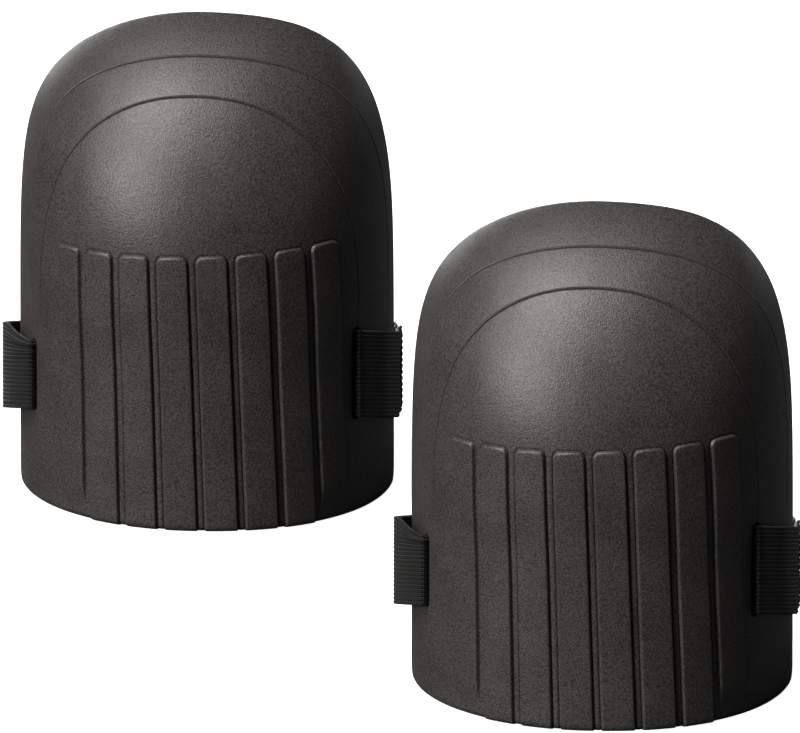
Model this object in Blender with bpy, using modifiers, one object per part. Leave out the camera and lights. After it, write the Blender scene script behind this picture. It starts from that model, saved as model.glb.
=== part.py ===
"""A pair of foam knee pads with webbing anchors and elastic hook-and-loop straps.

Each pad stands on its bottom edge with its front towards -Y. Metres, +Z up. The origin is on the floor,
under the middle of the pair. In a pad's own space the back edges of the foam cup are at y = 0, x = 0 is its
middle, and angles round the cup are measured from the front, positive towards +X.
"""

import math

import bmesh
import bpy
from mathutils import Vector

# Foam cup. Where a value has two sides, -1 is the left and 1 the right
HALF_WIDTH = {-1: 0.0793, 1: 0.0788}  # of the outer wall at the floor, at its back edges
DEPTH = 0.081  # from the back edges to the front
WALL_HEIGHT = 0.115  # of the front's straight wall below the dome
DOME_RISE = 0.098  # of the whole dome, before its top is cut off
DOME_ARC = 0.095  # surface length for each radian of climb up the dome
APEX = WALL_HEIGHT + DOME_RISE
FLANK_POWER = {-1: 8.4, 1: 6.9}  # the larger, the longer the flanks stay upright
SHOULDER_POWER = {-1: 1.6, 1: 2.5}  # the larger, the squarer the flanks' upper ends
PLAN_POWER = {-1: 2.0, 1: 2.15}  # 2 is an ellipse, and above it the plan is squarer
FRONT_POWER = 1.4  # above 1 the dome's front leans back more than an ellipse
RIM_SLOPE = 3.4  # steepness of the cut that makes the top rim
RIM_SWEEP = 0.70  # how slowly the rim falls away to its sides
FOAM_THICKNESS = 0.012
CORNER_RADIUS = {-1: 0.017, 1: 0.008}  # of the wall's lower back corners

# Raised ribs on the lower front
RIB_COUNT = 8
RIB_PITCH = math.radians(11.95)
RIB_SHIFT = math.radians(0.9)  # the row of ribs sits this far off the middle
RIB_TOP = 0.1203
RIB_HEIGHT = 0.0020
RIB_HALF_WIDTH_TOP = math.radians(4.4)
RIB_HALF_WIDTH_BOTTOM = math.radians(5.1)
RIB_LEAN = math.radians(2.4)  # a rib's foot is this much further round than its top
RIB_DRAFT = 0.90  # a rib's crest is this much of its base

# Comfort liner
LINER_THICKNESS = 0.006
LINER_GAP = 0.0011
LINER_HALF_ANGLE = 48  # degrees round from the front
LINER_MARGIN = 0.008  # from the cup's bottom and rim

# Strap slots
SLOT_ANGLE = {-1: math.radians(61.8), 1: math.radians(55.6)}
SLOT_WIDTH = 0.0052
SLOT_LENGTH = {-1: 0.034, 1: 0.043}  # the left one is shorter than its strap is wide
SLOT_HEIGHT = {-1: 0.0545, 1: 0.0595}  # of the slot's middle above the floor

# Straps
WEB_WIDTH = 0.038
WEB_THICKNESS = 0.0018
ELASTIC_THICKNESS = 0.0014
TAPE_THICKNESS = 0.0012
TAPE_WIDTH = 0.036
THREAD = 0.0004
GAP = 0.0003  # between pieces that touch
STRAP_HEIGHT = 0.0590  # of a strap's middle line where it leaves its slot
SAG_START_Y = -0.0345
SAG_DROP = 0.032  # how far the straps sag on their way to the back
SAG_LENGTH = 0.075
GATHER_SLOPE = 0.2  # rise of a gathered upper edge, for its distance from its slot
HINGE_X = 0.0765
HINGE_Y = 0.0335
HINGE_START = math.radians(1.2)  # the arms start this far past their hinges
LOOP_REACH = 0.0415  # from the hinges back to the loop strap
HOOK_REACH = 0.0468  # from the hinges back to the hook strap and its tab
LOOP_STRAP_TIP_X = 0.022  # x values of the arms are counted from the middle towards their hinge
LOOP_TAPE_START_X = 0.060
HOOK_STRAP_TIP_X = 0.032
HOOK_TAB_TIP_X = -0.047
SEAM_START_Y = 0.0120
SEAM_END_Y = 0.0325
BOX_X = ((SEAM_START_Y + 0.0055, SEAM_END_Y - 0.0020), WEB_WIDTH / 2 - 0.0030)  # its ends and half height
SEWN_LINE = 0.0008  # width of a sewn frame's line
SEWN_MARGIN = 0.0015  # from a tape's ends to the sewing round it
TAB_SEAM_X = (HOOK_STRAP_TIP_X + 0.013, HOOK_STRAP_TIP_X + 0.002)
TAB_SEAM_WIDTH = WEB_WIDTH - 0.006
TAB_GAP = 0.0012  # from the hook strap's tip to the tab

# Meshes
LOW_ROWS = 4  # of faces up the cup's wall
HIGH_ROWS = 6  # of faces up its dome
LOW_ROW_SHARE = 0.6  # of the way to the rim, where the wall's rows end at the latest
FLANK_COLUMNS = (60, 67, 74, 81.7, 86.9, 88.96, 90)  # degrees, close at the round lower corners
LINER_ROWS = 8
LINER_COLUMNS = 18
SHARP_ANGLE = math.radians(35)

# Standing places of the two pads
PAIR_STEP = Vector((0.1890, -0.2692, 0.0))  # from the left pad to the right one
PAIR_CENTRE = Vector((0.00246, 0.00106, 0.0))  # brings the middle of the pair over the origin


def clear_scene():
    for obj in list(bpy.data.objects):
        bpy.data.objects.remove(obj, do_unlink=True)


def make_collection(name):
    collection = bpy.data.collections.new(name)
    bpy.context.scene.collection.children.link(collection)
    return collection


def make_material(name, color, roughness, metallic=0.0):
    material = bpy.data.materials.new(name)
    material.use_nodes = True
    shader = material.node_tree.nodes["Principled BSDF"]
    shader.inputs["Base Color"].default_value = (*color, 1.0)
    shader.inputs["Roughness"].default_value = roughness
    shader.inputs["Metallic"].default_value = metallic
    material.diffuse_color = (*color, 1.0)
    return material


# ---- the cup's surface -------------------------------------------------------------------------------------


def side_of(theta):
    return 1 if theta > 0 else -1


def rim_length(theta):
    """Surface length from the floor up to the rim, at one angle round the cup."""
    climb = math.atan(RIM_SLOPE * max(math.cos(theta), 0.0) ** RIM_SWEEP)
    return WALL_HEIGHT + DOME_ARC * climb


def cup_point(theta, s):
    """The outer surface, theta round from the front and s up along the surface."""
    side = side_of(theta)
    climb = max(s - WALL_HEIGHT, 0.0) / DOME_ARC
    z = min(s, WALL_HEIGHT) + DOME_RISE * math.sin(climb)
    flank = 1.0 - (max(z, 0.0) / APEX) ** FLANK_POWER[side]
    width = HALF_WIDTH[side] * flank ** (1.0 / SHOULDER_POWER[side])
    depth = DEPTH * math.cos(climb) ** FRONT_POWER
    power = PLAN_POWER[side]
    reach = (abs(math.sin(theta)) ** power + abs(math.cos(theta)) ** power) ** (-1.0 / power)
    return Vector((width * reach * math.sin(theta), -depth * reach * math.cos(theta), z))


def cup_normal(theta, s):
    step = 1e-4
    round_cup = cup_point(theta + step, s) - cup_point(theta - step, s)
    up_cup = cup_point(theta, s + step * 0.1) - cup_point(theta, s - step * 0.1)
    return round_cup.cross(up_cup).normalized()


def rib_centre(index, s):
    lean = RIB_LEAN * max(1.0 - s / RIB_TOP, 0.0)
    return (index - (RIB_COUNT - 1) / 2) * RIB_PITCH + RIB_SHIFT + lean


def rib_half_width(s):
    share = min(s / RIB_TOP, 1.0)
    return RIB_HALF_WIDTH_BOTTOM + (RIB_HALF_WIDTH_TOP - RIB_HALF_WIDTH_BOTTOM) * share


def rib_columns():
    """One function for each rib edge, giving its angle at a height."""
    columns = []
    for index in range(RIB_COUNT):
        for edge in (-1, 1):
            columns.append(lambda s, i=index, e=edge: rib_centre(i, s) + e * rib_half_width(s))
    return columns


def fixed_columns(degrees):
    return [lambda s, a=math.radians(d): a for d in degrees]


def corner_lift(theta):
    """Height of the wall's lower edge, which rounds up into its back corners."""
    radius = CORNER_RADIUS[side_of(theta)]
    inset = max(radius - (math.pi / 2 - abs(theta)) * DEPTH, 0.0)
    return radius - math.sqrt(radius**2 - min(inset, radius) ** 2)


def make_grid(rows_of, columns, place):
    """An open grid whose columns follow the functions in columns, with its faces pointing out of the cup."""
    grid = bmesh.new()
    lines = []
    for column in columns:
        line = []
        for s in rows_of(column(RIB_TOP)):
            line.append(grid.verts.new(place(column(s), s)))
        lines.append(line)
    for left, right in zip(lines, lines[1:]):
        for i in range(len(left) - 1):
            grid.faces.new((left[i], right[i], right[i + 1], left[i + 1]))
    return grid


def cup_rows(theta):
    """Lengths of the cup's rows: even up to the ribs' tops, closer and closer towards the rim."""
    top = rim_length(theta)
    shoulder = min(RIB_TOP, LOW_ROW_SHARE * top)
    low = corner_lift(theta)
    lower = [low + (shoulder - low) * i / LOW_ROWS for i in range(LOW_ROWS + 1)]
    turns = [math.sin(math.pi / 2 * i / HIGH_ROWS) for i in range(1, HIGH_ROWS + 1)]
    upper = [shoulder + (top - shoulder) * ((i + 1) / HIGH_ROWS + turn) / 2 for i, turn in enumerate(turns)]
    return lower + upper


def liner_rows(theta):
    top = rim_length(theta) - LINER_MARGIN
    return [LINER_MARGIN + (top - LINER_MARGIN) * i / LINER_ROWS for i in range(LINER_ROWS + 1)]


def to_object(name, mesh_builder, material, collection, parent, pivot=Vector()):
    """Finishes a bmesh given in pad space as an object whose origin is at pivot."""
    bmesh.ops.translate(mesh_builder, verts=mesh_builder.verts, vec=-pivot)
    mesh = bpy.data.meshes.new(name)
    mesh_builder.to_mesh(mesh)
    mesh_builder.free()
    mesh.shade_smooth()
    mesh.set_sharp_from_angle(angle=SHARP_ANGLE)
    mesh.materials.append(material)
    obj = bpy.data.objects.new(name, mesh)
    collection.objects.link(obj)
    obj.parent = parent
    return obj


def solidify(obj, thickness, offset):
    modifier = obj.modifiers.new("thickness", "SOLIDIFY")
    modifier.thickness = thickness
    modifier.offset = offset
    modifier.use_even_offset = True
    return modifier


def baked(obj):
    """A bmesh of the object with its modifiers applied."""
    graph = bpy.context.evaluated_depsgraph_get()
    mesh = bpy.data.meshes.new_from_object(obj.evaluated_get(graph))
    result = bmesh.new()
    result.from_mesh(mesh)
    bpy.data.meshes.remove(mesh)
    return result


def raise_ribs(cup):
    """Extrudes each rib's outer faces along the surface normal, a little narrower at its crest."""
    for index in range(RIB_COUNT):
        faces = []
        for face in cup.faces:
            centre = face.calc_center_median()
            across = centre.x / HALF_WIDTH[side_of(centre.x)]
            outside = across**2 + (centre.y / DEPTH) ** 2 > 0.87
            theta = math.atan2(across, -centre.y / DEPTH)
            near = abs(theta - rib_centre(index, centre.z)) < 0.5 * RIB_HALF_WIDTH_TOP
            if outside and near and centre.z < RIB_TOP - 0.005 and abs(face.normal.z) < 0.5:
                faces.append(face)
        grown = bmesh.ops.extrude_face_region(cup, geom=faces)["geom"]
        bmesh.ops.delete(cup, geom=faces, context="FACES")
        for vert in (item for item in grown if isinstance(item, bmesh.types.BMVert)):
            climb = math.asin(min(max(vert.co.z - WALL_HEIGHT, 0.0) / DOME_RISE, 1.0))
            s = min(vert.co.z, WALL_HEIGHT) + DOME_ARC * climb
            theta = math.atan2(vert.co.x / HALF_WIDTH[side_of(vert.co.x)], -vert.co.y / DEPTH)
            middle = rib_centre(index, s)
            crest = middle + (theta - middle) * RIB_DRAFT
            if s > RIB_TOP - 0.002:
                s -= RIB_HEIGHT * 0.6
            vert.co = cup_point(crest, s) + cup_normal(crest, s) * RIB_HEIGHT


def slot_cutter(name, side, collection, parent):
    angle = side * SLOT_ANGLE[side]
    height = SLOT_HEIGHT[side]
    box = bmesh.new()
    bmesh.ops.create_cube(box, size=1.0)
    bmesh.ops.scale(box, verts=box.verts, vec=(SLOT_WIDTH, 4 * FOAM_THICKNESS, SLOT_LENGTH[side]))
    normal = cup_normal(angle, height)
    turn = math.atan2(normal.x, -normal.y)
    middle = cup_point(angle, height) - normal * FOAM_THICKNESS / 2
    mesh = bpy.data.meshes.new(name)
    box.to_mesh(mesh)
    box.free()
    cutter = bpy.data.objects.new(name, mesh)
    collection.objects.link(cutter)
    cutter.parent = parent
    cutter.location = middle
    cutter.rotation_euler = (0.0, 0.0, turn)
    cutter.hide_render = True
    cutter.display_type = "WIRE"
    return cutter


def make_shell(pad, parts, cutters, parent, material):
    outer = fixed_columns([-degrees for degrees in reversed(FLANK_COLUMNS)] + [-53])
    outer += rib_columns()
    outer += fixed_columns([54, *FLANK_COLUMNS])
    skin = make_grid(cup_rows, outer, cup_point)
    draft = to_object(f"{pad}_draft", skin, material, cutters, None)
    solidify(draft, FOAM_THICKNESS, -1.0)
    cup = baked(draft)
    bpy.data.objects.remove(draft, do_unlink=True)
    raise_ribs(cup)
    shell = to_object(f"{pad}_outer_shell", cup, material, parts, parent)
    for side, label in ((-1, "loop"), (1, "hook")):
        cutter = slot_cutter(f"{pad}_{label}_slot_cutter", side, cutters, parent)
        cut = shell.modifiers.new(f"{label}_slot", "BOOLEAN")
        cut.operation = "DIFFERENCE"
        cut.solver = "EXACT"
        cut.object = cutter
    return shell


def make_liner(pad, parts, parent, material):
    inset = FOAM_THICKNESS + LINER_GAP

    def place(theta, s):
        return cup_point(theta, s) - cup_normal(theta, s) * inset

    half = LINER_COLUMNS / 2
    columns = fixed_columns([LINER_HALF_ANGLE * (i / half - 1) for i in range(LINER_COLUMNS + 1)])
    liner = to_object(f"{pad}_inner_liner", make_grid(liner_rows, columns, place), material, parts, parent)
    solidify(liner, LINER_THICKNESS, -1.0)
    return liner


# ---- straps ------------------------------------------------------------------------------------------------


def sag(y):
    """Height of the straps' middle line, which sags from the slots to the back."""
    return STRAP_HEIGHT - SAG_DROP * (1.0 - math.exp(-max(y - SAG_START_Y, 0.0) / SAG_LENGTH))


def smooth_path(points, spacing):
    """Points a spacing apart on a smooth curve through the given points of the plan."""
    padded = [2 * points[0] - points[1], *points, 2 * points[-1] - points[-2]]
    path = []
    for a, b, c, d in zip(padded, padded[1:], padded[2:], padded[3:]):
        count = max(round((c - b).length / spacing), 1)
        for i in range(count):
            t = i / count
            path.append(0.5 * (2 * b + (c - a) * t + (2 * a - 5 * b + 4 * c - d) * t**2
                               + (3 * b - a - 3 * c + d) * t**3))
    return path + [points[-1]]


def slot_ends(side):
    """Plan points of a slot's outer and inner mouths, and the way out of it, as if on the right."""
    angle, height = side * SLOT_ANGLE[side], SLOT_HEIGHT[side]
    mouth = cup_point(angle, height)
    normal = cup_normal(angle, height)
    throat = mouth - normal * FOAM_THICKNESS
    return [Vector((side * point.x, point.y, 0)) for point in (mouth, throat, normal)]


def anchor_path(side):
    """Plan of an anchor loop: up the outside of the foam, in through the slot and back along the inside.

    The left strap stands off the foam in a bow, and the right one lies close along it.
    """
    mouth, throat, normal = slot_ends(side)
    half = (WEB_THICKNESS + ELASTIC_THICKNESS) / 2 + GAP
    outside = {
        -1: [(0.0836, 0.0035), (0.0855, -0.0070), (0.0842, -0.0175), (0.0797, -0.0285)],
        1: [(0.0805, 0.0020), (0.0798, -0.0120), (0.0775, -0.0260), (0.0736, -0.0365)],
    }[side]
    inside = [(0.0575, -0.0250), (0.0615, -0.0130), (0.0630, -0.0010), (0.0674, 0.0062)]
    lead = 0.0028  # the band runs straight this far before and after the slot
    points = [
        (HINGE_X + half, SEAM_END_Y),
        (HINGE_X + half, SEAM_START_Y + 0.004),
        *outside,
        (mouth + normal * lead).xy,
        mouth.xy,
        throat.xy,
        (throat - normal * lead).xy,
        *inside,
        (HINGE_X - half - 0.0006, SEAM_START_Y + 0.0015),
        (HINGE_X - half, SEAM_START_Y + 0.006),
        (HINGE_X - half, SEAM_END_Y),
    ]
    points = [Vector((x, y, 0)) for x, y in points]
    return [Vector((side * point.x, point.y, 0)) for point in smooth_path(points, 0.004)]


def gathered_top(side):
    """A function for the height of an anchor's upper edge, which its slot may hold down."""
    mouth, throat, _ = slot_ends(side)
    middle = (mouth + throat) / 2
    middle.x *= side
    ceiling = SLOT_HEIGHT[side] + SLOT_LENGTH[side] / 2 - 5 * GAP

    def top(point):
        away = max((point - middle).length - FOAM_THICKNESS / 2, 0.0)
        return min(sag(point.y) + WEB_WIDTH / 2, ceiling + GATHER_SLOPE * away)

    return top


def arm_path(side, reach, start_x, end_x, offset=0.0, steps=16):
    """Plan of a strap behind the knee, a stretch of a half ellipse that starts at its hinge.

    The x values run from the hinge's side, so a value below 0 is past the middle.
    """
    begin = math.acos(start_x / HINGE_X)
    end = math.acos(end_x / HINGE_X)
    path = []
    for i in range(steps + 1):
        angle = begin + (end - begin) * i / steps
        point = Vector((HINGE_X * math.cos(angle), HINGE_Y + reach * math.sin(angle), 0))
        outward = Vector((reach * math.cos(angle), HINGE_X * math.sin(angle), 0)).normalized()
        point += outward * offset
        path.append(Vector((side * point.x, point.y, 0)))
    return path


def make_ribbon(path, width, top=None):
    """An open band of this width that stands along the path and sags with the straps.

    Top is a function for the height of its upper edge, where that isn't a plain one.
    """
    band = bmesh.new()
    lines = []
    for point in path:
        low = sag(point.y) - width / 2
        high = top(point) if top else low + width
        lines.append([band.verts.new((point.x, point.y, z)) for z in (low, high)])
    for left, right in zip(lines, lines[1:]):
        band.faces.new((left[0], right[0], right[1], left[1]))
    return band


def make_band(name, path, width, thickness, material, parts, parent, pivot=Vector(), top=None):
    band = to_object(name, make_ribbon(path, width, top), material, parts, parent, pivot)
    solidify(band, thickness, 0.0)
    return band


def make_box_x(name, side, material, parts, parent):
    """Box-X sewing on the outer face of an anchor: a square with both diagonals."""
    x = HINGE_X + (WEB_THICKNESS + ELASTIC_THICKNESS) / 2 + GAP + WEB_THICKNESS / 2 + GAP + THREAD / 2
    (first, last), half = BOX_X
    pattern = bmesh.new()
    corners = [(first, -half), (last, -half), (last, half), (first, half)]
    face = pattern.faces.new([pattern.verts.new((side * x, y, sag(y) + z)) for y, z in corners])
    pattern.normal_update()
    windows = bmesh.ops.poke(pattern, faces=[face])["faces"]
    pattern.normal_update()
    bmesh.ops.inset_individual(pattern, faces=windows, thickness=THREAD)
    bmesh.ops.delete(pattern, geom=windows, context="FACES")
    sewing = to_object(name, pattern, material, parts, parent)
    solidify(sewing, THREAD, 0.0)
    return sewing


def make_sewn_frame(name, path, width, material, parts, parent, pivot):
    """A closed line of sewing round a strip that follows the path."""
    band = make_ribbon(path, width)
    band.normal_update()
    inset = bmesh.ops.inset_region(band, faces=band.faces[:], thickness=SEWN_LINE, use_boundary=True)
    rim = set(inset["faces"])
    bmesh.ops.delete(band, geom=[face for face in band.faces if face not in rim], context="FACES")
    sewing = to_object(name, band, material, parts, parent, pivot)
    solidify(sewing, THREAD, 0.0)
    return sewing


def make_empty(name, collection, parent, place):
    empty = bpy.data.objects.new(name, None)
    empty.empty_display_size = 0.02
    collection.objects.link(empty)
    empty.parent = parent
    empty.location = place
    return empty


def make_straps(pad, parts, parent, looks):
    loop_pivot = Vector((-HINGE_X, HINGE_Y, 0))
    hook_pivot = Vector((HINGE_X, HINGE_Y, 0))
    start_x = HINGE_X * math.cos(HINGE_START)
    loop_body = make_empty(f"{pad}_loop_strap_hinge", parts, parent, loop_pivot)
    hook_body = make_empty(f"{pad}_hook_strap_hinge", parts, parent, hook_pivot)

    path = arm_path(-1, LOOP_REACH, start_x, -LOOP_STRAP_TIP_X, steps=20)
    make_band(f"{pad}_loop_strap", path, WEB_WIDTH, ELASTIC_THICKNESS,
              looks["elastic"], parts, loop_body, loop_pivot)
    tape_offset = ELASTIC_THICKNESS / 2 + GAP + TAPE_THICKNESS / 2
    tape_end_x = -LOOP_STRAP_TIP_X + 0.002
    path = arm_path(-1, LOOP_REACH, LOOP_TAPE_START_X, tape_end_x, tape_offset, steps=14)
    make_band(f"{pad}_loop_tape", path, TAPE_WIDTH, TAPE_THICKNESS,
              looks["loop"], parts, loop_body, loop_pivot)
    sewn_offset = tape_offset + TAPE_THICKNESS / 2 + GAP / 2 + THREAD / 2
    path = arm_path(-1, LOOP_REACH, LOOP_TAPE_START_X - SEWN_MARGIN, tape_end_x + SEWN_MARGIN,
                    sewn_offset, steps=14)
    make_sewn_frame(f"{pad}_loop_tape_stitch", path, TAPE_WIDTH - SEWN_MARGIN,
                    looks["thread"], parts, loop_body, loop_pivot)

    path = arm_path(1, HOOK_REACH, start_x, HOOK_STRAP_TIP_X, steps=10)
    make_band(f"{pad}_hook_strap", path, WEB_WIDTH, ELASTIC_THICKNESS,
              looks["elastic"], parts, hook_body, hook_pivot)
    sewn_offset = ELASTIC_THICKNESS / 2 + GAP + THREAD / 2
    path = arm_path(1, HOOK_REACH, *TAB_SEAM_X, sewn_offset, steps=3)
    make_sewn_frame(f"{pad}_tab_stitch", path, TAB_SEAM_WIDTH,
                    looks["thread"], parts, hook_body, hook_pivot)

    angle = math.acos(HOOK_STRAP_TIP_X / HINGE_X)
    tab_place = Vector((HOOK_STRAP_TIP_X, HINGE_Y + HOOK_REACH * math.sin(angle), 0))
    tab_body = make_empty(f"{pad}_hook_tab_hinge", parts, hook_body, tab_place - hook_pivot)
    path = arm_path(1, HOOK_REACH, HOOK_STRAP_TIP_X - TAB_GAP, HOOK_TAB_TIP_X, steps=14)
    make_band(f"{pad}_hook_tab", path, TAPE_WIDTH, TAPE_THICKNESS,
              looks["hook"], parts, tab_body, tab_place)


def make_pad(pad, place, parts, cutters, looks):
    standing = make_empty(f"{pad}_pad", parts, None, place)
    make_shell(pad, parts, cutters, standing, looks["foam"])
    make_liner(pad, parts, standing, looks["liner"])
    for side, label in ((-1, "loop"), (1, "hook")):
        make_band(f"{pad}_{label}_anchor", anchor_path(side), WEB_WIDTH, WEB_THICKNESS,
                  looks["webbing"], parts, standing, top=gathered_top(side))
        make_box_x(f"{pad}_{label}_anchor_stitch", side, looks["thread"], parts, standing)
    make_straps(pad, parts, standing, looks)


def main():
    clear_scene()
    parts = make_collection("knee_pads")
    cutters = make_collection("cutters")
    looks = {
        "foam": make_material("moulded_foam", (0.045, 0.041, 0.040), 0.62),
        "liner": make_material("liner_foam", (0.030, 0.030, 0.031), 0.85),
        "webbing": make_material("ribbed_webbing", (0.016, 0.016, 0.017), 0.70),
        "elastic": make_material("woven_elastic", (0.018, 0.018, 0.019), 0.75),
        "loop": make_material("loop_pile", (0.014, 0.014, 0.015), 0.95),
        "hook": make_material("hook_tape", (0.022, 0.022, 0.023), 0.50),
        "thread": make_material("sewing_thread", (0.035, 0.035, 0.036), 0.60),
    }
    make_pad("left", PAIR_CENTRE - PAIR_STEP / 2, parts, cutters, looks)
    make_pad("right", PAIR_CENTRE + PAIR_STEP / 2, parts, cutters, looks)
    bpy.context.view_layer.update()


main()
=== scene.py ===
"""Looks of a pair of moulded foam knee pads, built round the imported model.

Every piece is modelled in its pad's own space, which is also the model's: the cup's back edges are at y = 0,
its front is towards -Y, x = 0 is its middle and z = 0 the floor. Angles round the cup are measured from the
front, positive towards +X, and s is the surface length up from the floor. Metres and radians throughout.
"""

import math
import random

import bpy
import numpy as np
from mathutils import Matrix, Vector


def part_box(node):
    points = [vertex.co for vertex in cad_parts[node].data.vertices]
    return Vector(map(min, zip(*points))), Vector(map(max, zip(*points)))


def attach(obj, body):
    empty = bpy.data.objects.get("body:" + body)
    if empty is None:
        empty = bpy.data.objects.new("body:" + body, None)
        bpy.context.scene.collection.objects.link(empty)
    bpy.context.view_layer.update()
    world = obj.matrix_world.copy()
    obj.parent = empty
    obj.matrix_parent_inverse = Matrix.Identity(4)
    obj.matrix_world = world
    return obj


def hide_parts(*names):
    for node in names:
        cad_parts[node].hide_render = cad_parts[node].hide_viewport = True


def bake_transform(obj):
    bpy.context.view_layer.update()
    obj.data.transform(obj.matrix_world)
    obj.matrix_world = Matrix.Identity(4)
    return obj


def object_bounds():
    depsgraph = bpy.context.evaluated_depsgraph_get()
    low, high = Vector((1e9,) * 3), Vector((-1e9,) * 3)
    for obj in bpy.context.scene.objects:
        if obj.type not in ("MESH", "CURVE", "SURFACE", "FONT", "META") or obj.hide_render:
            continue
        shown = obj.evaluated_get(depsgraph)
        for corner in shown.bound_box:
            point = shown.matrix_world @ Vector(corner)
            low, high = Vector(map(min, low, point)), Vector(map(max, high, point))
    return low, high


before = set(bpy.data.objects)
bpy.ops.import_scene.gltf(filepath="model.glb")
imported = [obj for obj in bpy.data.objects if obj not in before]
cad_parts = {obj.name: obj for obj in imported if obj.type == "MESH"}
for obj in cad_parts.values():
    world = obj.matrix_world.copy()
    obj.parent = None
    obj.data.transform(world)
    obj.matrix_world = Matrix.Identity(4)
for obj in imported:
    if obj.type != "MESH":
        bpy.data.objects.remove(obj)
cad_low, cad_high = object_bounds()

MM = 0.001
PADS = ("left", "right")

# Foam cup, as in the model. A pair holds the left side's value and the right side's
HALF_WIDTH = (0.0793, 0.0788)
DEPTH = 0.081
WALL_HEIGHT = 0.115
DOME_RISE = 0.098
DOME_ARC = 0.095
APEX = WALL_HEIGHT + DOME_RISE
FLANK_POWER = (8.4, 6.9)
SHOULDER_POWER = (1.6, 2.5)
PLAN_POWER = (2.0, 2.15)
FRONT_POWER = 1.4
RIM_SLOPE = 3.4
RIM_SWEEP = 0.70
MIDDLE_BLEND = math.radians(20)  # the left and right forms pass into each other over this angle
FOAM_THICKNESS = 0.012
CORNER_RADIUS = (0.017, 0.008)
EDGE_RADIUS = 0.0025

# Ribs
RIB_COUNT = 8
RIB_PITCH = math.radians(11.95)
RIB_SHIFT = math.radians(0.38)
RIB_TOP = 0.1203
RIB_TILT = 0.0028  # how much higher the ribs end for each radian round to the right
TILT_SPREAD = 0.022
RIB_LEAN = math.radians(2.8)
FOOT_SPREAD = 0.04  # how much wider apart the ribs stand at their feet
RIB_HALF_TOP = math.radians(4.85)
RIB_HALF_BOTTOM = math.radians(5.17)
RIB_RADIUS = 0.080  # of the cup where the ribs are, which turns lengths into angles
RIB_RISE = 0.0013
RIB_WALL = 0.0009  # width over which a rib's edge falls
RIB_CORNER = 0.0030
CREASE_DEPTH = 0.00045
CREASE_WIDTH = 0.00022
CREASE_OFFSET = 0.12 * MM  # from a rib's foot to the middle of its crease
RIB_ROUNDING = 2.2  # power of the edges' round form
RIB_FOOT_START = 0.004  # the outermost ribs rise from here
RIB_FOOT_LENGTH = 0.012

# Steps in the skin: two arches, each the edge of a raised field
STEP_RISE = 0.0006
BEVEL_START = 0.0002
BEVEL_WIDTH = 0.0009
STEP_FADE = (0.060, 0.100)  # below this the steps die out into the wall

# Comfort liner
LINER_GAP = 0.0011
LINER_THICKNESS = 0.006
LINER_HALF_ANGLE = math.radians(48)
LINER_MARGIN = 0.008
LINER_POWER = 5.0  # of its outline, a rounded square
LINER_ROLL = 4.5 * MM  # width of its rolled edge
CHANNEL_INSET = 9.0 * MM  # of the sewn channel from the edge
CHANNEL_DEPTH = 1.6 * MM
CHANNEL_WIDTH = 0.9 * MM
CROWN_RISE = 1.5 * MM
CROWN_REACH = 14 * MM

# Strap slots, narrower and shorter than the model's, since the webbing fills them
SLOT_ANGLE = (math.radians(61.8), math.radians(55.6))
SLOT_WIDTH = 0.0038
SLOT_LENGTH = (0.0305, 0.0395)
SLOT_HEIGHT = (0.0545, 0.0610)
SLOT_MOUTH = (  # depths in the foam, and how much wider the slot is there
    (-0.004, 0.0014), (-0.0010, 0.0009), (0.0, 0.0006), (0.0005, 0.0002), (0.0012, 0.0))

# Straps, as in the model except for their line of sag, which follows the photograph in front
WEB_WIDTH = 0.038
WEB_THICKNESS = 0.0018
ELASTIC_THICKNESS = 0.0014
TAPE_THICKNESS = 0.0012
TAPE_WIDTH = 0.036
GAP = 0.0003
STRAP_HEIGHT = 0.0590
SAG_START_Y = -0.0345
SAG_DROP = 0.032
SAG_LENGTH = 0.075
SAG_KNEE_Y = -0.0070  # in front of this the straps run straight down from their slots
GATHER_SLOPE = 0.2
GATHER_WIDTH = 0.015  # of the part of a band that bunches up where its slot is short
GATHER_GAP = 0.0006  # between a bunched band and its slot's end
HINGE_X = 0.0765
HINGE_Y = 0.0335
LOOP_REACH = 0.0415
HOOK_REACH = 0.0468
LOOP_STRAP_TIP_X = 0.022
HOOK_STRAP_TIP_X = 0.032
HOOK_TAB_TIP_X = -0.047
SEAM_START_Y = 0.0120
SEAM_END_Y = 0.0325
THREAD_RADIUS = 0.00028
STITCH_PITCH = 0.0026
STITCH_START = 0.07  # share of the pitch in front of each stitch
STITCH_SHARE = 0.86  # share of the pitch that a stitch takes
STITCH_SIDES = 6
STITCH_LEVELS = 6
PATH_SPACING = 0.0014
ARC_START = math.radians(1.2)  # round from a hinge, where its arm's arc begins
ANCHOR_LEAD = 0.0028  # how far the webbing runs straight on at each mouth of a slot
ANCHOR_OUTSIDE = {  # plan points outside the foam, as if on the right. The left band bows out
    -1: [(0.0836, 0.0035), (0.0855, -0.0070), (0.0842, -0.0175), (0.0797, -0.0285)],
    1: [(0.0800, 0.0020), (0.0796, -0.0120), (0.0775, -0.0260), (0.0736, -0.0365)],
}
ANCHOR_INSIDE = [(0.0575, -0.0250), (0.0615, -0.0130), (0.0630, -0.0010), (0.0674, 0.0062)]
WEB_PITCH = 1.8 * MM  # between the webbing's lengthwise ribs
WEB_RELIEF = 0.34 * MM
WEB_WOBBLE = 0.00004  # how far the webbing strays, in waves of these phases per metre along and across it
WAVES_OUT = (210.0, 40.0)
WAVES_UP = (260.0, 310.0)
ELASTIC_PITCH = 1.5 * MM
ELASTIC_RELIEF = 0.18 * MM
TAPE_ROW_PITCH = 0.75 * MM
PILE_HEIGHT = 0.45 * MM
BACKING_THICKNESS = 0.7 * MM  # of the hook tape without its hooks
HOOK_HEIGHT = 1.05 * MM
HOOK_RADIUS = 0.11 * MM
HOOK_PITCH_ACROSS = 1.6 * MM
HOOK_PITCH_ALONG = 1.3 * MM
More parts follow.
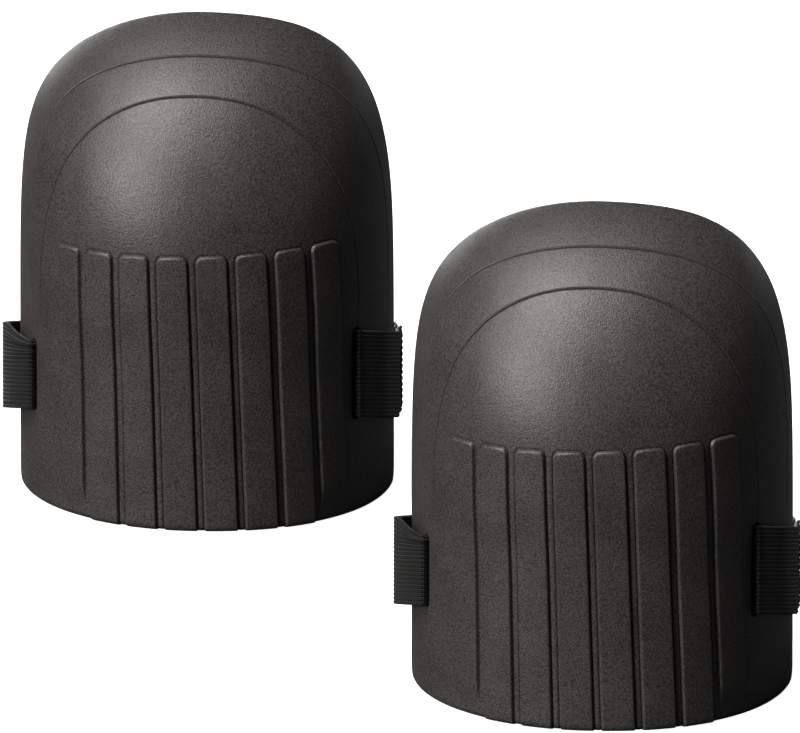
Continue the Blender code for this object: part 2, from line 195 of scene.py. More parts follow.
HOOK_MARGIN = 2.0 * MM
HOOK_RINGS = (  # shares: of the height, of it as a bend up or down, and of the radius
    (0.0, 0.0, 1.3), (0.45, 0.0, 1.0), (0.80, 0.10, 0.9), (1.0, 0.30, 0.8), (0.93, 0.52, 0.6))

# The photograph's view
CAMERA_AZIMUTH = math.radians(5.0)
CAMERA_ELEVATION = math.radians(16.5)
CAMERA_LENS = 1500.0
SENSOR_WIDTH = 36.0
VIEW_WIDTH = 0.3336  # what the frame's width takes in, at the object
VIEW_SHIFT = (0.0009, -0.0131)  # from the object's middle to the frame's middle, right and up

# Light. The photograph's ground is a cut-out, so floor and surround are white for the camera only
WHITE = (1.0, 1.0, 1.0)
WARM = (1.0, 0.955, 0.925)
SUNS = (  # name, azimuth and elevation in degrees, strength, width in degrees, colour
    ("low_key", -46, 20, 2.6, 20, WARM),
    ("key", -46, 52, 2.25, 20, WARM),
    ("high_key", -42, 70, 1.7, 20, WARM),
    ("back", 200, 12, 2.2, 40, WHITE),
    ("side", 150, 15, 0.3, 40, WHITE),
)
SURROUND_STRENGTH = 0.015
FLOOR_REACH = 40.0
FLOOR_DROP = 0.0002
FLOOR_GLOW = 0.97
FLOOR_GREY = 0.85
FLOOR_DIM = 0.06  # its grey for every ray but the camera's


# ---- camera, lights and floor ----


def new_object(name, data):
    thing = bpy.data.objects.new(name, data)
    bpy.context.scene.collection.objects.link(thing)
    return thing


def direction(azimuth, elevation):
    """Unit vector away from the object at these angles. Azimuth 0 is in front, positive to the right."""
    return Vector((math.sin(azimuth) * math.cos(elevation),
                   -math.cos(azimuth) * math.cos(elevation),
                   math.sin(elevation)))


def aim(thing, towards):
    """Turns a camera or a light that stands in this direction to face the object."""
    thing.rotation_mode = "QUATERNION"
    thing.rotation_quaternion = (-towards).to_track_quat("-Z", "Y")


def add_camera():
    data = bpy.data.cameras.new("camera")
    data.lens = CAMERA_LENS
    data.sensor_width = SENSOR_WIDTH
    data.clip_start = 1.0
    data.clip_end = 100.0
    camera = new_object("camera", data)
    back = direction(CAMERA_AZIMUTH, CAMERA_ELEVATION)
    right = Vector((math.cos(CAMERA_AZIMUTH), math.sin(CAMERA_AZIMUTH), 0.0))
    up = back.cross(right)
    middle = (cad_low + cad_high) / 2 + right * VIEW_SHIFT[0] + up * VIEW_SHIFT[1]
    camera.location = middle + back * (CAMERA_LENS * VIEW_WIDTH / SENSOR_WIDTH)
    aim(camera, back)
    bpy.context.scene.camera = camera


def add_sun(name, azimuth, elevation, strength, width, color):
    data = bpy.data.lights.new(name, "SUN")
    data.energy = strength
    data.angle = math.radians(width)
    data.color = color
    aim(new_object(name, data), direction(math.radians(azimuth), math.radians(elevation)))


def add_node(tree, kind, inputs):
    """A new shader node. Its inputs, by name or number, are values or the sockets that feed them."""
    node = tree.nodes.new("ShaderNode" + kind)
    for key, value in inputs.items():
        if isinstance(value, bpy.types.NodeSocket):
            tree.links.new(value, node.inputs[key])
        else:
            node.inputs[key].default_value = value
    return node


def grey(value):
    return (value, value, value, 1.0)


def camera_mix(tree, seen, thrown):
    """A shader that is one thing for the camera and another for every other ray."""
    path = add_node(tree, "LightPath", {})
    inputs = {0: path.outputs["Is Camera Ray"], 1: thrown.outputs[0], 2: seen.outputs[0]}
    return add_node(tree, "MixShader", inputs).outputs[0]


def add_world():
    world = bpy.data.worlds.new("studio")
    bpy.context.scene.world = world
    world.use_nodes = True
    tree = world.node_tree
    light = tree.nodes["Background"]
    light.inputs["Color"].default_value = grey(1.0)
    light.inputs["Strength"].default_value = SURROUND_STRENGTH
    white = add_node(tree, "Background", {"Color": grey(1.0), "Strength": 1.0})
    tree.links.new(camera_mix(tree, white, light), tree.nodes["World Output"].inputs["Surface"])


def add_floor():
    """A very large pale floor. What it throws back at the object is kept low."""
    corners = [(x * FLOOR_REACH, y * FLOOR_REACH, 0.0) for x, y in ((-1, -1), (1, -1), (1, 1), (-1, 1))]
    mesh = bpy.data.meshes.new("floor")
    mesh.from_pydata(corners, [], [(0, 1, 2, 3)])
    floor = new_object("floor", mesh)
    floor.location.z = cad_low.z - FLOOR_DROP
    material = bpy.data.materials.new("pale_floor")
    material.use_nodes = True
    tree = material.node_tree
    tree.nodes.clear()
    glow = add_node(tree, "Emission", {"Color": grey(1.0), "Strength": FLOOR_GLOW})
    matt = add_node(tree, "BsdfDiffuse", {"Color": grey(FLOOR_GREY)})
    pale = add_node(tree, "AddShader", {0: glow.outputs[0], 1: matt.outputs[0]})
    dim = add_node(tree, "BsdfDiffuse", {"Color": grey(FLOOR_DIM)})
    add_node(tree, "OutputMaterial", {"Surface": camera_mix(tree, pale, dim)})
    mesh.materials.append(material)


# ---- materials ----


class Look:
    """A Principled material with short calls for its procedural nodes."""

    def __init__(self, name, roughness, specular=0.5, sheen=0.0, sheen_roughness=0.5):
        self.material = bpy.data.materials.new(name)
        self.material.use_nodes = True
        self.tree = self.material.node_tree
        self.inputs = self.tree.nodes["Principled BSDF"].inputs
        for key, value in (("Roughness", roughness), ("Specular IOR Level", specular),
                           ("Sheen Weight", sheen), ("Sheen Roughness", sheen_roughness)):
            self.inputs[key].default_value = value
        coordinates = add_node(self.tree, "TexCoord", {})
        self.place = coordinates.outputs["Object"]
        self.cloth = coordinates.outputs["UV"]

    def noise(self, size, detail=2.0, roughness=0.5):
        """Noise whose features are about this size."""
        inputs = {"Vector": self.place, "Scale": 1.0 / size, "Detail": detail, "Roughness": roughness}
        return add_node(self.tree, "TexNoise", inputs).outputs[0]

    def cells(self, size, smoothness):
        """Distance from the middle of rounded cells of about this size."""
        node = add_node(self.tree, "TexVoronoi", {"Vector": self.place, "Scale": 1.0 / size})
        node.feature = "SMOOTH_F1"
        node.inputs["Smoothness"].default_value = smoothness
        return node.outputs["Distance"]

    def waves(self, period, axis, vector=None):
        """A sine of this period along one axis, 0 to 1."""
        # a wave texture's own period is pi / 10 of its unit
        scale = math.pi / 10.0 / period
        node = add_node(self.tree, "TexWave", {"Vector": vector or self.cloth, "Scale": scale})
        node.wave_type = "BANDS"
        node.bands_direction = axis
        return node.outputs["Fac"]

    def maths(self, operation, a, b):
        node = add_node(self.tree, "Math", {0: a, 1: b})
        node.operation = operation
        return node.outputs[0]

    def weighted(self, a, a_weight, b, b_weight):
        """Two values, each times its weight, added up."""
        return self.maths("ADD", self.maths("MULTIPLY", a, a_weight), self.maths("MULTIPLY", b, b_weight))

    def spread(self, value, low, high, start=0.0, end=1.0):
        """Value's range start to end, turned into low to high."""
        inputs = {"Value": value, "From Min": start, "From Max": end, "To Min": low, "To Max": high}
        return add_node(self.tree, "MapRange", inputs).outputs[0]

    def color(self, share, dark, light):
        """Gives the material a colour between two, by share."""
        node = add_node(self.tree, "Mix", {0: share, 6: (*dark, 1.0), 7: (*light, 1.0)})
        node.data_type = "RGBA"
        self.tree.links.new(node.outputs[2], self.inputs["Base Color"])

    def roughness(self, value, low, high, start=0.0, end=1.0):
        self.tree.links.new(self.spread(value, low, high, start, end), self.inputs["Roughness"])

    def bumps(self, *layers):
        """Bump from (height, depth in metres, strength) layers, each on top of the one before."""
        before = {}
        for height, depth, strength in layers:
            inputs = {"Distance": depth, "Strength": strength, "Height": height, **before}
            normal = add_node(self.tree, "Bump", inputs).outputs[0]
            before = {"Normal": normal}
        self.tree.links.new(normal, self.inputs["Normal"])


def foam_look():
    """Moulded EVA with a fine pebbled skin, lighter and smoother in flecks."""
    look = Look("moulded_foam", 0.5)
    pebbles = look.cells(0.72 * MM, smoothness=0.6)
    grain = look.noise(0.42 * MM, detail=3.0, roughness=0.6)
    cloud = look.noise(22 * MM, detail=3.0)
    fleck = look.maths("SUBTRACT", look.noise(0.80 * MM, roughness=0.65), 0.5)
    fleck = look.maths("MULTIPLY", fleck, 1.7)
    skin = look.weighted(pebbles, -0.9, grain, 0.8)
    shade = look.maths("ADD", look.maths("ADD", skin, fleck), look.maths("MULTIPLY", cloud, 0.35))
    look.color(look.spread(shade, 0.0, 1.0, -0.15, 0.60), (0.0170, 0.0160, 0.0154), (0.060, 0.0562, 0.0540))
    dullness = look.maths("SUBTRACT", look.maths("ADD", grain, cloud), fleck)
    look.roughness(dullness, 0.35, 0.50, 0.5, 1.5)
    look.bumps((look.noise(6 * MM, detail=1.0), 0.20 * MM, 0.20), (skin, 0.13 * MM, 0.70))
    return look.material


def liner_look():
    """Soft foam laminated with a close knit."""
    look = Look("liner_foam", 0.9, specular=0.2, sheen=0.15, sheen_roughness=0.6)
    courses = look.waves(1.1 * MM, "X", look.place)
    stitches = look.maths("MULTIPLY", courses, look.waves(0.9 * MM, "Z", look.place))
    fluff = look.noise(0.5 * MM, detail=3.0)
    cloud = look.noise(15 * MM)
    share = look.weighted(stitches, 0.5, fluff, 0.5)
    share = look.maths("MULTIPLY", share, look.spread(cloud, 0.7, 1.1))
    look.color(share, (0.010, 0.010, 0.011), (0.040, 0.040, 0.042))
    look.bumps((stitches, 0.25 * MM, 0.7), (fluff, 0.12 * MM, 0.6))
    return look.material


def woven_look(name, weft, dark, light, roughness, sheen):
    """Woven band: its lengthwise ribs are in the mesh, and the weft crosses them as rows of small dots."""
    look = Look(name, roughness, specular=0.2, sheen=sheen)
    dots = look.maths("MULTIPLY", look.waves(weft, "X"), look.waves(0.9 * MM, "Y"))
    fibre = look.noise(0.25 * MM, detail=3.0)
    look.color(look.weighted(dots, 0.75, fibre, 0.35), dark, light)
    look.roughness(fibre, roughness - 0.08, roughness + 0.08)
    look.bumps((dots, 0.28 * MM, 0.9), (fibre, 0.08 * MM, 0.6))
    return look.material


def pile_look():
    """The brushed loops of loop tape."""
    look = Look("loop_pile", 0.95, specular=0.15, sheen=0.35, sheen_roughness=0.4)
    loops = look.cells(0.8 * MM, smoothness=0.3)
    fibre = look.noise(0.22 * MM, detail=4.0, roughness=0.7)
    look.color(look.weighted(loops, 0.6, fibre, 0.5), (0.004, 0.004, 0.0045), (0.026, 0.026, 0.028))
    look.bumps((loops, 0.4 * MM, 0.8), (fibre, 0.15 * MM, 0.9))
    return look.material


def hook_look(name, roughness):
    """Nylon of hook tape, with a plain weave."""
    look = Look(name, roughness)
    weave = look.maths("MULTIPLY", look.waves(0.7 * MM, "X"), look.waves(0.7 * MM, "Y"))
    fibre = look.noise(0.3 * MM)
    look.color(look.weighted(weave, 0.6, fibre, 0.4), (0.007, 0.007, 0.008), (0.030, 0.030, 0.032))
    look.roughness(fibre, roughness - 0.08, roughness + 0.08)
    look.bumps((weave, 0.12 * MM, 0.6), (fibre, 0.05 * MM, 0.5))
    return look.material


def thread_look():
    """Twisted sewing thread."""
    look = Look("sewing_thread", 0.55, specular=0.4)
    twist = look.noise(0.3 * MM)
    look.color(twist, (0.014, 0.014, 0.015), (0.052, 0.052, 0.055))
    look.bumps((twist, 0.06 * MM, 0.7))
    return look.material


# ---- the cup's surface ----


def smooth(x):
    x = np.clip(x, 0.0, 1.0)
    return x * x * (3.0 - 2.0 * x)


def of_side(side, pair):
    """A pair's value for one side: -1 is the left, 1 the right."""
    return pair[0] if side < 0 else pair[1]


def sided(theta, pair):
    """The left and right values of a pair, passing into each other near the front."""
    share = smooth((theta + MIDDLE_BLEND) / (2 * MIDDLE_BLEND))
    return pair[0] + (pair[1] - pair[0]) * share


def rim_length(theta):
    """Surface length from the floor to the rim."""
    return WALL_HEIGHT + DOME_ARC * np.arctan(RIM_SLOPE * np.maximum(np.cos(theta), 0.0) ** RIM_SWEEP)


def rim_angle(side, s):
    """Angle of the rim, or of the back edge with its round corner below it, at a height."""
    climb = np.clip((s - WALL_HEIGHT) / DOME_ARC, 0.0, 1.28)
    angle = np.arccos(np.clip((np.tan(climb) / RIM_SLOPE) ** (1.0 / RIM_SWEEP), 0.0, 1.0))
    radius = of_side(side, CORNER_RADIUS)
    low = np.clip(1.0 - s / radius, 0.0, 1.0)
    inset = radius * (1.0 - np.sqrt(1.0 - low**2))
    return angle - inset / DEPTH


def cup(theta, s, lift=0.0):
    """Points of the cup's outer surface, moved out by lift along its normal."""
    base = cup_surface(theta, s)
    step = 2e-4
    round_cup = cup_surface(theta + step, s) - cup_surface(theta - step, s)
    up_cup = cup_surface(theta, s + step * 0.1) - cup_surface(theta, s - step * 0.1)
    normal = np.cross(round_cup, up_cup)
    normal /= np.linalg.norm(normal, axis=-1, keepdims=True)
    return base + normal * np.asarray(lift)[..., None]


def reach_at(turn, power):
    """Radius in one direction of a unit circle that grows squarer with its power."""
    return (np.abs(np.sin(turn)) ** power + np.abs(np.cos(turn)) ** power) ** (-1.0 / power)


def cup_surface(theta, s):
    climb = np.maximum(s - WALL_HEIGHT, 0.0) / DOME_ARC
    z = np.minimum(s, WALL_HEIGHT) + DOME_RISE * np.sin(climb)
    height = np.clip(z / APEX, 0.0, 1.0)
    widths = []
    for half_width, flank, shoulder in zip(HALF_WIDTH, FLANK_POWER, SHOULDER_POWER):
        widths.append(half_width * (1.0 - height**flank) ** (1.0 / shoulder))
    reach = reach_at(theta, sided(theta, PLAN_POWER))
    x = sided(theta, widths) * reach * np.sin(theta)
    y = -DEPTH * np.cos(climb) ** FRONT_POWER * reach * np.cos(theta)
    return np.stack(np.broadcast_arrays(x, y, z), axis=-1)


class Arch:
    """A contour of the skin: straight up from the floor at one angle, then over in a flattened arch.

    Degrees, across and upward are (left, right) pairs; the powers make the arch squarer as they grow.
    """

    def __init__(self, start, rise, degrees, across, upward):
        self.start = start
        self.rise = rise
        self.angle = np.radians(degrees)
        self.across = np.array(across)
        self.upward = np.array(upward)

    def angle_at(self, side, s):
        k = 0 if side < 0 else 1
        climb = np.clip((s - self.start) / self.rise, 0.0, 1.0) ** self.upward[k]
        return self.angle[k] * (1.0 - climb) ** (1.0 / self.across[k])

    def height_at(self, theta):
        k = np.where(theta < 0, 0, 1)
        turn = np.clip(np.abs(theta) / self.angle[k], 0.0, 1.0) ** self.across[k]
        return self.start + self.rise * (1.0 - turn) ** (1.0 / self.upward[k])


INNER_ARCH = Arch(0.0900, 0.0955, (56.2, 56.2), (2.2, 2.2), (2.3, 2.3))
OUTER_ARCH = Arch(0.1000, 0.1055, (64.5, 77.0), (2.0, 2.3), (4.2, 2.6))


def rib_centre(index, s):
    """Angle of a rib's middle line. Towards their feet the ribs spread and lean to the right."""
    down = np.maximum(1.0 - s / RIB_TOP, 0.0)
    place = (index - (RIB_COUNT - 1) / 2) * RIB_PITCH * (1.0 + FOOT_SPREAD * down)
    return place + RIB_SHIFT + RIB_LEAN * down


def rib_half(s):
    """Half of a rib's width, as an angle."""
    return RIB_HALF_BOTTOM + (RIB_HALF_TOP - RIB_HALF_BOTTOM) * np.minimum(s / RIB_TOP, 1.0)


def rib_height(theta, s):
    """Height of the ribbed relief over the skin: rounded bars with a fine crease round their feet."""
    height = np.zeros_like(theta)
    crease = np.zeros_like(theta)
    for index in range(RIB_COUNT):
        across = (np.abs(theta - rib_centre(index, s)) - rib_half(s)) * RIB_RADIUS + RIB_CORNER
        upward = s - RIB_TOP + RIB_CORNER
        outside = np.minimum(np.maximum(across, upward), 0.0) - RIB_CORNER
        outside += np.hypot(np.maximum(across, 0.0), np.maximum(upward, 0.0))
        share = np.clip(-outside / RIB_WALL, 0.0, 1.0)
        outermost = index in (0, RIB_COUNT - 1)
        foot = smooth((s - RIB_FOOT_START) / RIB_FOOT_LENGTH) if outermost else 1.0
        height = np.maximum(height, RIB_RISE * (1.0 - (1.0 - share) ** RIB_ROUNDING) * foot)
        crease = np.maximum(crease, np.exp(-(((outside - CREASE_OFFSET) / CREASE_WIDTH) ** 2)) * foot)
    return height - CREASE_DEPTH * crease


# ---- the foam shell ----

BLOCK_TOP = 0.126  # the ribs lie in a block of the mesh up to this height
EDGE_STEPS = (0.15, 0.35, 0.6)  # columns outside a rib's edge, in mm
CREST_STEPS = (0.0, 0.15, 0.35, 0.6, 0.9, 1.3, 2.2)  # columns inside it, in mm
OUTSIDE_STEPS = (0.1, 0.2, 0.32, 0.55, 0.85, 1.15, 1.45, 1.75, 2.1, 3.0)  # rows outside an arch, in mm
INSIDE_STEPS = (1.4, 0.9, 0.6, 0.42, 0.30, 0.20, 0.10)  # rows inside it, in mm
ROUND_STEPS = 6  # rows round a free edge
INNER_CORNER = 0.148  # heights where the lines from the block's upper corners meet the arches and the rim
OUTER_CORNER = 0.182
RIM_CORNER = 0.200
ROW_REACH = 0.38  # the largest share of a line that the close rows at one of its ends may take


def block_rows():
    """Heights of the block's rows: close at the rounded lower edge and at the ribs' tops."""
    turn = np.linspace(math.pi / 2, 0.0, ROUND_STEPS + 1)
    rows = list(EDGE_RADIUS * (1.0 - np.sin(turn)))
    rows += [value * MM for value in (4.0, 6.5, 9.5)]
    for low, high, step in ((13, 60, 4), (60, 112, 2.5), (112.4, 116.5, 0.9), (116.6, 121.6, 0.33)):
        rows += list(np.arange(low * MM, high * MM, step * MM))
    rows += [value * MM for value in (121.9, 122.6, 124.0)]
    return np.array(rows + [BLOCK_TOP])


def block_angles(rows):
    """Angles of the block's columns at every row, as an array of columns by rows."""
    columns = []
    for index in range(RIB_COUNT):
        centre, half = rib_centre(index, rows), rib_half(rows)
        if index:
            columns.append(centre - RIB_PITCH / 2)
        edge = [*reversed(EDGE_STEPS), *(-step for step in CREST_STEPS)]
        columns += [centre - half - step * MM / RIB_RADIUS for step in edge]
        columns.append(centre)
        columns += [centre + half + step * MM / RIB_RADIUS for step in reversed(edge)]
    outer = 1.6 * MM / RIB_RADIUS
    first = rib_centre(0, rows) - rib_half(rows) - outer
    last = rib_centre(RIB_COUNT - 1, rows) + rib_half(rows) + outer
    return np.array([first, *columns, last])


def trace(angle_at, height_at, corner, rows, shares):
    """A contour's points, one for each line that leaves the block.

    They go up its left side, along its top and down its right side.
    """
    heights = rows + (corner - BLOCK_TOP) * (rows / BLOCK_TOP) ** 3
    left = np.stack((-angle_at(-1, heights), heights), axis=1)
    right = np.stack((angle_at(1, heights), heights), axis=1)[::-1]
    angles = np.where(shares < 0, shares * angle_at(-1, corner), shares * angle_at(1, corner))
    top = np.stack((angles, height_at(angles)), axis=1)
    return np.concatenate((left, top, right))


def row_scale(start, end):
    """The share of each line from start to end that is one metre square off start's contour."""
    here = cup_surface(start[:, 0], start[:, 1])
    ahead = cup_surface(*(start + (end - start) * 1e-3).T) - here
    along = np.gradient(here, axis=0)
    area = np.linalg.norm(np.cross(ahead, along), axis=1)
    return 1e-3 * np.linalg.norm(along, axis=1) / np.maximum(area, 1e-12)


def strip(start, end, near, middle, far):
    """Rows between two contours: at near and far, lengths off each of them, and some evenly between.

    Returns a list of (points, length outside start or None, length inside end or None).
    """
    first = row_scale(start, end)
    last = row_scale(end, start)
    if near:
        first = np.minimum(first, ROW_REACH / max(near))
    last = np.minimum(last, ROW_REACH / max(far))
    rows = [(start + (end - start) * (first * length)[:, None], length, None) for length in near]
    low = first * max(near) if near else np.zeros(len(start))
    high = 1.0 - last * max(far)
    for i in range(1, middle + 1):
        share = low + (high - low) * i / (middle + 1)
        rows.append((start + (end - start) * share[:, None], None, None))
    rows += [(end + (start - end) * (last * length)[:, None], None, length) for length in far]
    return rows


def step_fade(s):
    return smooth((s - STEP_FADE[0]) / (STEP_FADE[1] - STEP_FADE[0]))


def crease_at(outside):
    """Depth of the crease just inside an arch. It's a little wider and deeper than the ribs'."""
    return -CREASE_DEPTH * 1.15 * np.exp(-(((outside + CREASE_OFFSET) / (CREASE_WIDTH * 1.1)) ** 2))


def step_at(outside):
    """Height left of a step, outside its arch: a small crest, then a bevel down to the field outside."""
    bevel = STEP_RISE * (1.0 - smooth((outside - BEVEL_START) / BEVEL_WIDTH))
    return bevel + 0.08 * MM * math.exp(-(((outside - BEVEL_START) / (0.25 * MM)) ** 2))


def rounded(distance):
    """How far a free edge's rounding lies below the surface, at this distance from the edge."""
    left = np.clip(EDGE_RADIUS - distance, 0.0, EDGE_RADIUS)
    return EDGE_RADIUS - np.sqrt(EDGE_RADIUS**2 - left**2)


def edge_distance(points, rim_distance):
    """Distance from the lower edge, the back edges with their round corners, and the rim."""
    theta, s = points[:, 0], points[:, 1]
    back = (math.pi / 2 - np.abs(theta)) * DEPTH
    radius = np.where(theta < 0, *CORNER_RADIUS)
    corner = radius - np.hypot(np.maximum(radius - back, 0.0), np.maximum(radius - s, 0.0))
    low = np.minimum(np.minimum(back, s), corner)
    return np.where(s < 2 * radius, low, np.minimum(rim_distance, s))


def shell_sheet():
    """The skin's mesh as (points in angle and length, height, distance from an edge, quads, outline)."""
    rows = block_rows()
    angles = block_angles(rows)
    columns, count = angles.shape
    theta, s = angles.ravel(), np.tile(rows, columns)
    index = np.arange(columns * count).reshape(columns, count)
    corners = (index[:-1, :-1], index[1:, :-1], index[1:, 1:], index[:-1, 1:])
    quads = [np.stack(corners, axis=-1).reshape(-1, 4)]
    points = [np.stack((theta, s), axis=1)]
    heights = [2 * STEP_RISE * step_fade(s) + rib_height(theta, s)]
    distances = [s]

    shares = angles[1:-1, -1]
    shares = np.where(shares < 0, shares / -angles[0, -1], shares / angles[-1, -1])
    block = np.concatenate((index[0], index[1:-1, -1], index[-1][::-1]))
    border = points[0][block]
    inner = trace(INNER_ARCH.angle_at, INNER_ARCH.height_at, INNER_CORNER, rows, shares)
    outer = trace(OUTER_ARCH.angle_at, OUTER_ARCH.height_at, OUTER_CORNER, rows, shares)
    rim = trace(rim_angle, rim_length, RIM_CORNER, rows, shares)

    turn = np.linspace(0.0, math.pi / 2, ROUND_STEPS + 1)[:-1]
    outside = [step * MM for step in OUTSIDE_STEPS]
    inside = [step * MM for step in INSIDE_STEPS]
    round_edge = list(EDGE_RADIUS * (1.0 - np.sin(turn)))
    # start, end, close rows at each, rows between them, and the steps that the band stands on
    bands = [(border, inner, [], 14, inside, 2), (inner, outer, outside, 7, inside, 1),
             (outer, rim, outside, 8, round_edge, 0)]
    ring = block
    total = len(points[0])
    foot_lines = []
    for start, end, near, middle, far, level in bands:
        made = strip(start, end, near, middle, far)
        made.append((end, None, 0.0))
        for place, past, before in made:
            lift = np.full(len(place), level * STEP_RISE)
            if past is not None:
                lift += step_at(past) + crease_at(past)
            if before is not None and level:
                lift += crease_at(-before)
            to_rim = before if before is not None and not level else 1.0
            points.append(place)
            heights.append(lift * step_fade(place[:, 1]))
            distances.append(edge_distance(place, to_rim))
            fresh = np.arange(total, total + len(place))
            total += len(place)
            quads.append(np.stack((ring[:-1], ring[1:], fresh[1:], fresh[:-1]), axis=-1))
            foot_lines.append((fresh[0], fresh[-1]))
            ring = fresh
    left_foot, right_foot = zip(*foot_lines[:-1])
    outline = np.concatenate((ring, right_foot[::-1], index[::-1, 0], left_foot))
    places = np.concatenate(points)
    places[:, 1] += RIB_TILT * places[:, 0] * np.exp(-(((places[:, 1] - RIB_TOP) / TILT_SPREAD) ** 2))
    return (places, np.concatenate(heights), np.concatenate(distances),
            np.concatenate(quads), outline)


def slot_point(side, depth):
    """The middle of a slot, this deep in the foam."""
    angle, height = side * of_side(side, SLOT_ANGLE), of_side(side, SLOT_HEIGHT)
    return cup(np.array([angle]), np.array([height]), np.array([-depth]))[0]


def slot_cutter(side):
    """A stadium-shaped plug through the foam, flared at both mouths."""
    mouth = slot_point(side, 0.0)
    inward = slot_point(side, 1.0) - mouth
    across = np.array([-inward[1], inward[0], 0.0])
    sections = list(SLOT_MOUTH) + [(FOAM_THICKNESS - depth, flare) for depth, flare in reversed(SLOT_MOUTH)]
    turn = np.linspace(0.0, 2 * math.pi, 40, endpoint=False)
    straight = of_side(side, SLOT_LENGTH) / 2 - SLOT_WIDTH / 2
    points = []
    for depth, flare in sections:
        radius = SLOT_WIDTH / 2 + flare
        for angle in turn:
            up = radius * math.sin(angle) + math.copysign(straight, math.sin(angle))
            points.append(mouth + inward * depth + across * radius * math.cos(angle) + np.array([0, 0, up]))
    return new_mesh("slot_cutter", np.array(points), plug_faces(len(turn), len(sections)))


def shell_mesh():
    """The foam cup: the skin with its relief outside, a plain one inside and a rounded edge all round."""
    places, heights, distances, quads, outline = shell_sheet()
    below = rounded(distances)
    outer = cup(places[:, 0], places[:, 1], heights - below)
    inner = cup(places[:, 0], places[:, 1], below - FOAM_THICKNESS)
    total = len(places)
    around = np.roll(outline, -1)
    edge = np.stack((outline, around, around + total, outline + total), axis=-1)[:, ::-1]
    faces = np.concatenate((quads, quads[:, ::-1] + total, edge))
    shell = new_object("shell_draft", new_mesh("shell", np.concatenate((outer, inner)), faces.tolist()))
    cutters = []
    for side in (-1, 1):
        cutter = new_object("slot_cutter", slot_cutter(side))
        cut = shell.modifiers.new("slot", "BOOLEAN")
        cut.operation = "DIFFERENCE"
        cut.solver = "EXACT"
        cut.use_hole_tolerant = True
        cut.object = cutter
        cutters.append(cutter)
    mesh = bpy.data.meshes.new_from_object(shell.evaluated_get(bpy.context.evaluated_depsgraph_get()))
    mesh.name = "shell"
    for helper in (shell, *cutters):
        bpy.data.objects.remove(helper, do_unlink=True)
    smooth_shade(mesh, 50)
    return mesh


# ---- meshes ----


def volume(points, faces):
    total = 0.0
    for face in faces:
        for b, c in zip(face[1:], face[2:]):
            total += np.dot(points[face[0]], np.cross(points[b], points[c]))
    return total


def new_mesh(name, points, faces):
    """A mesh whose faces are turned to point out."""
    if volume(points, faces) < 0:
        faces = [tuple(face)[::-1] for face in faces]
    mesh = bpy.data.meshes.new(name)
    mesh.from_pydata(points.tolist(), [], faces)
    return mesh


def smooth_shade(mesh, degrees):
    mesh.shade_smooth()
    mesh.set_sharp_from_angle(angle=math.radians(degrees))


def cloth_mesh(name, points, faces, places, degrees=60):
    """A mesh that says where each of its points lies along and across the cloth."""
    mesh = new_mesh(name, np.array(points), faces)
    layer = mesh.uv_layers.new(name="cloth")
    for loop in mesh.loops:
        layer.data[loop.index].uv = places[loop.vertex_index]
    smooth_shade(mesh, degrees)
    return mesh


def ring_faces(count, rings, base=0):
    """Quads between neighbouring rings of count points each, numbered from base on."""
    faces = []
    for low in range(base, base + (rings - 1) * count, count):
        high = low + count
        for i in range(count):
            j = (i + 1) % count
            faces.append((low + i, low + j, high + j, high + i))
    return faces


def plug_faces(count, rings, base=0):
    """The same, closed with one face at each end."""
    last = base + (rings - 1) * count
    ends = [tuple(range(base, base + count))[::-1], tuple(range(last, last + count))]
    return ring_faces(count, rings, base) + ends


def band_faces(count, rings):
    """The same for long flat rings, closed with a row of quads at each end."""
    faces = ring_faces(count, rings)
    last = (rings - 1) * count
    for k in range(count // 2 - 1):
        faces.append((k, count - 1 - k, count - 2 - k, k + 1))
        faces.append((last + k, last + k + 1, last + count - 2 - k, last + count - 1 - k))
    return faces


# ---- liner ----


def liner_mesh():
    """A soft pad with a rolled edge and a sewn-in channel round it, on a grid of rings."""
    turn = np.linspace(0.0, 2 * math.pi, 200, endpoint=False)
    reach = reach_at(turn, LINER_POWER)
    across, upward = reach * np.cos(turn), reach * np.sin(turn)
    half_width = LINER_HALF_ANGLE * RIB_RADIUS

    def ring(inset, depth):
        share = 1.0 - inset / half_width
        theta = LINER_HALF_ANGLE * across * share
        top = rim_length(theta) - LINER_MARGIN
        s = LINER_MARGIN + (top - LINER_MARGIN) * (upward * share + 1.0) / 2
        return cup(theta, s, np.full(len(theta), -depth))

    steps = [0.0, 0.15, 0.5, 1.1, 1.9, 3.0, 4.5, 6.3, 7.4, 8.0, 8.5, 9.0, 9.5, 10.0, 10.7, 12.0, 14.5]
    insets = [step * MM for step in steps]
    insets += list(np.linspace(19 * MM, half_width * 0.985, 16))
    face = FOAM_THICKNESS + LINER_GAP
    rings = []
    for inset in reversed(insets[::3]):
        rings.append(ring(inset, FOAM_THICKNESS + 0.15 * MM))
    for inset in insets:
        roll = math.sqrt(1.0 - (1.0 - min(inset / LINER_ROLL, 1.0)) ** 2)
        channel = CHANNEL_DEPTH * math.exp(-(((inset - CHANNEL_INSET) / CHANNEL_WIDTH) ** 2))
        crown = CROWN_RISE * (1.0 - math.exp(-max(inset - CHANNEL_INSET, 0.0) / CROWN_REACH))
        rings.append(ring(inset, face + (LINER_THICKNESS - 0.5 * MM) * roll - channel + crown))
    count = len(turn)
    points = np.concatenate(rings)
    total = len(points)
    faces = ring_faces(count, len(rings))
    for i in range(count):
        j = (i + 1) % count
        faces.append((total, j, i))
        faces.append((total + 1, total - count + i, total - count + j))
    centres = [points[:count].mean(axis=0), points[-count:].mean(axis=0)]
    mesh = new_mesh("liner", np.concatenate((points, centres)), faces)
    smooth_shade(mesh, 60)
    return mesh


# ---- straps ----


